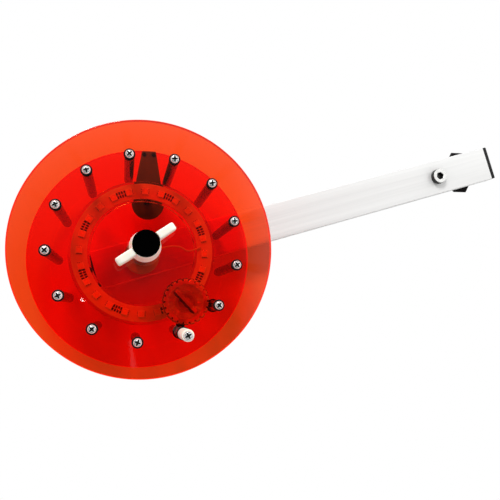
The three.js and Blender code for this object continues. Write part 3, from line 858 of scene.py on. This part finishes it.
def build_lamp():
    board_top = low("lamp_board").z + BOARD_THICKNESS
    board = ring(BOARD_INNER, high("lamp_board").x, low("lamp_board").z, board_top, 0.15, 192)
    piece("lamp_board_sheet", board, white_mask, "drum", "lamp_board")

    body = prism(box_outline(LED_SIZE, LED_SIZE, 0.35), board_top - 0.02, board_top + 1.35, 0.2)
    body = cut(body, rod(1.75, board_top + 1.0, board_top + 2.0, segments=32))
    rise = board_top + 1.05
    window = lathe([(0, board_top + 1.3), (1.2, board_top + 1.22), (1.72, rise), (0, rise)], 32)
    foot = prism(box_outline(0.9, 0.7), board_top, board_top + 0.3, 0.08)
    places = [Matrix.Translation((x, y, 0)) for x in (-2.4, 2.4) for y in (-1.3, 0, 1.3)]
    around = []
    for k in range(LED_COUNT):
        deg = FIRST_LED_DEG + k * 360 / LED_COUNT
        around.append(Matrix.Translation((*polar(LED_CIRCLE, deg), 0)) @ clockwise_about_z(deg))
    piece("lamp_bodies", spread(body, around), led_body, "drum")
    piece("lamp_windows", spread(window, around), phosphor, "drum")
    piece("lamp_solder", spread(spread(foot, places), around), solder, "drum")
    build_resistors(board_top)

    z0, z1 = low("lamp_carrier").z, high("lamp_carrier").z
    carrier = ring(CARRIER_INNER, high("lamp_carrier").x, z0, z1, 0.25, 192)
    piece("lamp_carrier_ring", carrier, clear_plastic, "drum", "lamp_carrier")
    for number in range(1, STANDOFF_COUNT + 1):
        build_standoff(f"lamp_standoff_{number}", number == 1)
    build_lead()


def build_resistors(board_top):
    """Two rows of four small black resistors with their solder pads, in every third gap between lamps."""
    chip = prism(box_outline(0.9, 1.5, 0.08), board_top, board_top + 0.5, 0.06)
    pad = prism(box_outline(0.8, 0.4), board_top, board_top + 0.22, 0.06)
    chips, pads = [], []
    step = 360 / LED_COUNT
    for k in range(1, LED_COUNT, 3):
        for offset in (-0.24, -0.08, 0.08, 0.24):
            deg = FIRST_LED_DEG + (k + 0.5 + offset) * step
            for reach in (-1.3, 1.3):
                spot = Matrix.Translation((*polar(LED_CIRCLE + reach, deg), 0)) @ clockwise_about_z(deg)
                chips.append(spot)
                pads += [spot @ Matrix.Translation((0, side, 0)) for side in (-0.85, 0.85)]
    piece("lamp_resistors", spread(chip, chips), chip_black, "drum")
    piece("lamp_resistor_pads", spread(pad, pads), solder, "drum")


def build_standoff(name, on_plate):
    """A hexagonal pillar that stands on the back disc, or on the plate that lies on it."""
    base = high("back_disc").z + GAP
    if on_plate:
        base += high("index_plate").z - low("index_plate").z + GAP
    top = low("lamp_carrier").z - GAP
    pillar = prism(polygon(6, 5.2), base, top, 0.25)
    piece(f"{name}_pillar", pillar, black_plastic, "drum", name, middle(name).xy)
    sunk = flat_screw(low(name).z, base - 0.02)
    piece(f"{name}_screw", sunk, zinc, "drum", None, middle(name).xy, 0.7)


def build_lead():
    """The lamp's thin lead, from the hub tube to the board."""
    route = [
        (7.1, 1.4, 71.6),
        (15.4, 3.3, 72.6),
        (20.4, 4.2, 72.6),
        (26.1, 3.6, 71.9),
        (29.0, 1.8, 71.2),
        (31.2, 0.2, 71.0),
        (36.5, 1.2, 71.1),
        (41.0, 3.4, 71.1),
    ]
    curve = bpy.data.curves.new("lamp_lead_wire", "CURVE")
    curve.dimensions = "3D"
    curve.bevel_depth = LEAD_RADIUS * MM
    curve.bevel_resolution = 4
    curve.use_fill_caps = True
    line = curve.splines.new("NURBS")
    line.points.add(len(route) - 1)
    line.order_u = 4
    line.use_endpoint_u = True
    for point, spot in zip(line.points, route):
        point.co = (*(Vector(spot) * MM), 1)
    curve.materials.append(insulation)
    wire = bpy.data.objects.new("lamp_lead_wire", curve)
    bpy.context.scene.collection.objects.link(wire)
    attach(wire, "drum")
    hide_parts("lamp_lead")


# ---------------------------------------------------------------- dimmer


def build_dimmer():
    """The control on a bracket that clips round two of the posts."""
    z0, z1 = low("dimmer_bracket").z, high("dimmer_bracket").z
    post_radius = (high("post_06").x - low("post_06").x) / 2
    held = [posts[5], posts[6]]
    bracket = moved(rod(BRACKET_BOSS, z0, z1, 0.4, 64), *knob_place)
    for place in held:
        between = place - knob_place
        web = prism(box_outline(between.length, BRACKET_WEB), z0, z1, 0.4)
        web = moved(web, *((place + knob_place) / 2), turn=math.atan2(between.y, between.x))
        bracket = combined(bracket, web, "UNION")
        bracket = combined(bracket, moved(rod(BRACKET_COLLAR, z0, z1, 0.4, 64), *place), "UNION")
    holes = [moved(drill(post_radius + 0.2, z0, z1, 48), *place) for place in held]
    bracket = cut(bracket, *holes, moved(drill(BUSHING_HOLE, z0, z1, 48), *knob_place))
    piece("dimmer_bracket_moulding", bracket, black_plastic, "drum", "dimmer_bracket")

    b0, b1 = low("dimmer_body").z, high("dimmer_body").z
    case = prism(box_outline(11, 10, 0.5), b0, z0 - GAP, 0.3)
    bushing = ring(2.7, 3.5, z0 - GAP - 0.01, b1, 0.1, 48)
    body = joined(case, bushing)
    piece("dimmer_case", body, black_plastic, "drum", "dimmer_body", knob_place)
    shaft = rod(SHAFT_RADIUS, low("dimmer_shaft").z, high("dimmer_shaft").z, 0.3, 40)
    piece("dimmer_spindle", shaft, zinc, "knob", "dimmer_shaft", knob_place)
    build_knob()


def build_knob():
    """A clear fluted knob, hollow below, with a dished top and a grip bar across the dish. Its flute
    grooves and one side of the bar carry painted shade.
    """
    z0, z1 = low("dimmer_knob").z, high("dimmer_knob").z

    def flute(angle):
        return -1.5 * (0.5 + 0.5 * math.cos(KNOB_FLUTES * angle)) ** 6

    profile = [(0, z0 + 11), (2.8, z0 + 11), (2.8, z0), (5.2, z0), (5.6, z0 + 10.5)]
    profile += [(6.6, z0 + 11.5), (10.8, z0 + 11.5), (11.8, z0 + 10.5), (12.6, z0)]
    for inset, z, weight in (
        (0.9, z0, 0.9),
        (0.2, z0 + 0.4, 1),
        (0, z0 + 1.2, 1),
        (0.3, z1 - 2.0, 1),
        (0.8, z1 - 0.9, 0.8),
        (1.8, z1 - 0.2, 0.4),
    ):
        profile.append((KNOB_RADIUS - inset, z, weight))
    profile += [(KNOB_RADIUS - 2.8, z1), (11.8, z1), (11.2, z1 - 0.5), (8.4, z1 - 4.6)]
    profile += [(7.6, z1 - 5), (5.4, z1 - 3.6), (3.2, z1 - 4.9), (0, z1 - 4.2)]
    knob = lathe(profile, KNOB_FLUTES * 14, flute)
    ridge = [(-2.6, z1 - 5.4), (2.6, z1 - 5.4), (1.1, z1 - 0.6), (-1.1, z1 - 0.6)]
    grip = along_x(prism(rounded(ridge, [0, 0, 0.4, 0.4]), -10.2, 10.2, 0.2))
    turn = math.radians(KNOB_TURN_DEG)
    shaded = Vector((math.sin(turn), -math.cos(turn)))
    knob = combined(knob, moved(grip, turn=turn), "UNION")

    # Painted shade: the deep flute grooves, and the grip bar's side towards shaded, take the near-black
    # material.
    def dark(at, facing):
        in_groove = 13.2 < at.xy.length < KNOB_RADIUS - 0.45 and abs(facing.z) < 0.5
        beside_grip = at.xy.length < 8.3 and at.z > z1 - 5 and facing.xy.dot(shaded) > 0.6
        return in_groove or beside_grip

    painted(knob, dark)
    looks = (knob_plastic, knob_groove_painted_shade)
    piece("dimmer_knob_moulding", knob, looks, "knob", "dimmer_knob", knob_place)


# ---------------------------------------------------------------- index plate


def build_index_plate():
    """A teardrop: a round end towards the hub, and straight sides that narrow towards the rim."""
    z0, z1 = low("index_plate").z, high("index_plate").z
    screws = [middle(f"index_screw_{number}").xy for number in (1, 2)]
    across = (screws[1] - screws[0]).normalized()
    outward = Vector((-across.y, across.x))
    centre = Vector((5.0, 41.8))
    radius, reach, half_width = 12.5, 42.4, 5.4
    distance = math.hypot(half_width, reach)
    tangent = math.atan2(reach, half_width) - math.acos(radius / distance)
    corners = []
    steps = 40
    for k in range(steps + 1):
        angle = math.pi - tangent + (math.pi + 2 * tangent) * k / steps
        corners.append((radius * math.cos(angle), radius * math.sin(angle)))
    outer_end = [corners[-1], (half_width, reach), (-half_width, reach), corners[0]]
    corners += rounded(outer_end, 0.8, False)[1:-1]
    outline = [centre + across * x + outward * y for x, y in corners]
    plate = prism(outline, z0, z1, 0.3)
    holes = [moved(drill(M2_HOLE, z0, z1), *place) for place in screws]
    holes.append(moved(drill(M3_HOLE, z0, z1), *middle("lamp_standoff_1").xy))
    piece("index_plate_sheet", cut(plate, *holes), plate_black, "drum", "index_plate")
    seat, crown, tip = z1 + GAP, high("index_screw_1").z, low("index_screw_1").z
    head = lathe([(0, crown), (0.9, crown - 0.08), (1.5, crown - 0.5), (1.7, seat), (0, seat)], 28)
    head = cut(head, cross_recess(crown, 0.8, 1.0, 0.25))
    small = joined(head, rod(M2_SHANK, tip, seat - 0.02, segments=16))
    for number, place in enumerate(screws, 1):
        node = f"index_screw_{number}"
        piece(f"index_pan_screw_{number}", small, black_plastic, "drum", node, place)


# ---------------------------------------------------------------- stage


def area_light(name, place, aim, size, watts):
    data = bpy.data.lights.new(name, "AREA")
    data.shape = "RECTANGLE"
    data.size, data.size_y = size
    data.energy = watts
    light = bpy.data.objects.new(name, data)
    bpy.context.scene.collection.objects.link(light)
    light.location = place
    light.rotation_euler = (Vector(aim) - Vector(place)).to_track_quat("-Z", "Y").to_euler()


def build_stage():
    mesh = bpy.data.meshes.new("floor")
    corners = [(x * FLOOR_HALF, y * FLOOR_HALF, 0) for x, y in ((-1, -1), (1, -1), (1, 1), (-1, 1))]
    mesh.from_pydata(corners, [], [(0, 1, 2, 3)])
    mesh.materials.append(paper_white())
    floor = bpy.data.objects.new("floor", mesh)
    floor.location.z = FLOOR_LEVEL
    bpy.context.scene.collection.objects.link(floor)
    for light in LIGHTS:
        area_light(*light)
    build_sky()


def paper_white():
    """A matt white floor that is evenly white wherever the camera sees it directly."""
    paper = Surface("white_paper", (0.9, 0.9, 0.9), 0.9, Specular_IOR_Level=0.0)
    path = paper.add("ShaderNodeLightPath")
    bare = computed(paper.tree, "LESS_THAN", path.outputs["Transparent Depth"], 0.5)
    direct = computed(paper.tree, "MULTIPLY", path.outputs["Is Camera Ray"], bare)
    glow = paper.add("ShaderNodeEmission", Strength=1.0)
    mix = paper.add("ShaderNodeMixShader")
    paper.link(direct, mix.inputs["Fac"])
    paper.link(paper.shader.outputs["BSDF"], mix.inputs[1])
    paper.link(glow.outputs["Emission"], mix.inputs[2])
    paper.link(mix.outputs["Shader"], paper.tree.nodes["Material Output"].inputs["Surface"])
    return paper.material


def build_sky():
    """A room that is dim overhead and bright towards its walls, most of all on the +X side."""
    world = bpy.data.worlds.new("studio")
    bpy.context.scene.world = world
    world.use_nodes = True
    tree = world.node_tree
    direction = tree.nodes.new("ShaderNodeSeparateXYZ")
    tree.links.new(tree.nodes.new("ShaderNodeTexCoord").outputs["Generated"], direction.inputs["Vector"])
    total = 0
    for axis, *limits in SKY_SLOPES:
        slope = mapped(tree, direction.outputs[axis], *limits)
        slope.interpolation_type = "SMOOTHSTEP"
        total = computed(tree, "ADD", total, slope.outputs["Result"])
    background = tree.nodes["Background"]
    background.inputs["Color"].default_value = (1, 1, 1, 1)
    tree.links.new(computed(tree, "MAXIMUM", total, SKY_LEAST), background.inputs["Strength"])


def build_camera():
    data = bpy.data.cameras.new("camera")
    data.lens = CAMERA_LENS
    data.sensor_width = CAMERA_SENSOR
    camera = bpy.data.objects.new("camera", data)
    bpy.context.scene.collection.objects.link(camera)
    ahead = Vector(CAMERA_AHEAD).normalized()
    right = ahead.cross(Vector(CAMERA_UP)).normalized()
    up = right.cross(ahead)
    turn = Matrix((right, up, -ahead)).transposed().to_4x4()
    camera.matrix_world = Matrix.Translation(CAMERA_PLACE) @ turn
    bpy.context.scene.camera = camera


random.seed(5)
build_camera()
build_stage()
build_arm()
build_discs()
build_posts()
build_front_screws()
build_peg()
build_hub()
build_lamp()
build_dimmer()
build_index_plate()

scene = bpy.context.scene
scene.view_settings.view_transform = "Standard"
scene.cycles.transparent_max_bounces = 32
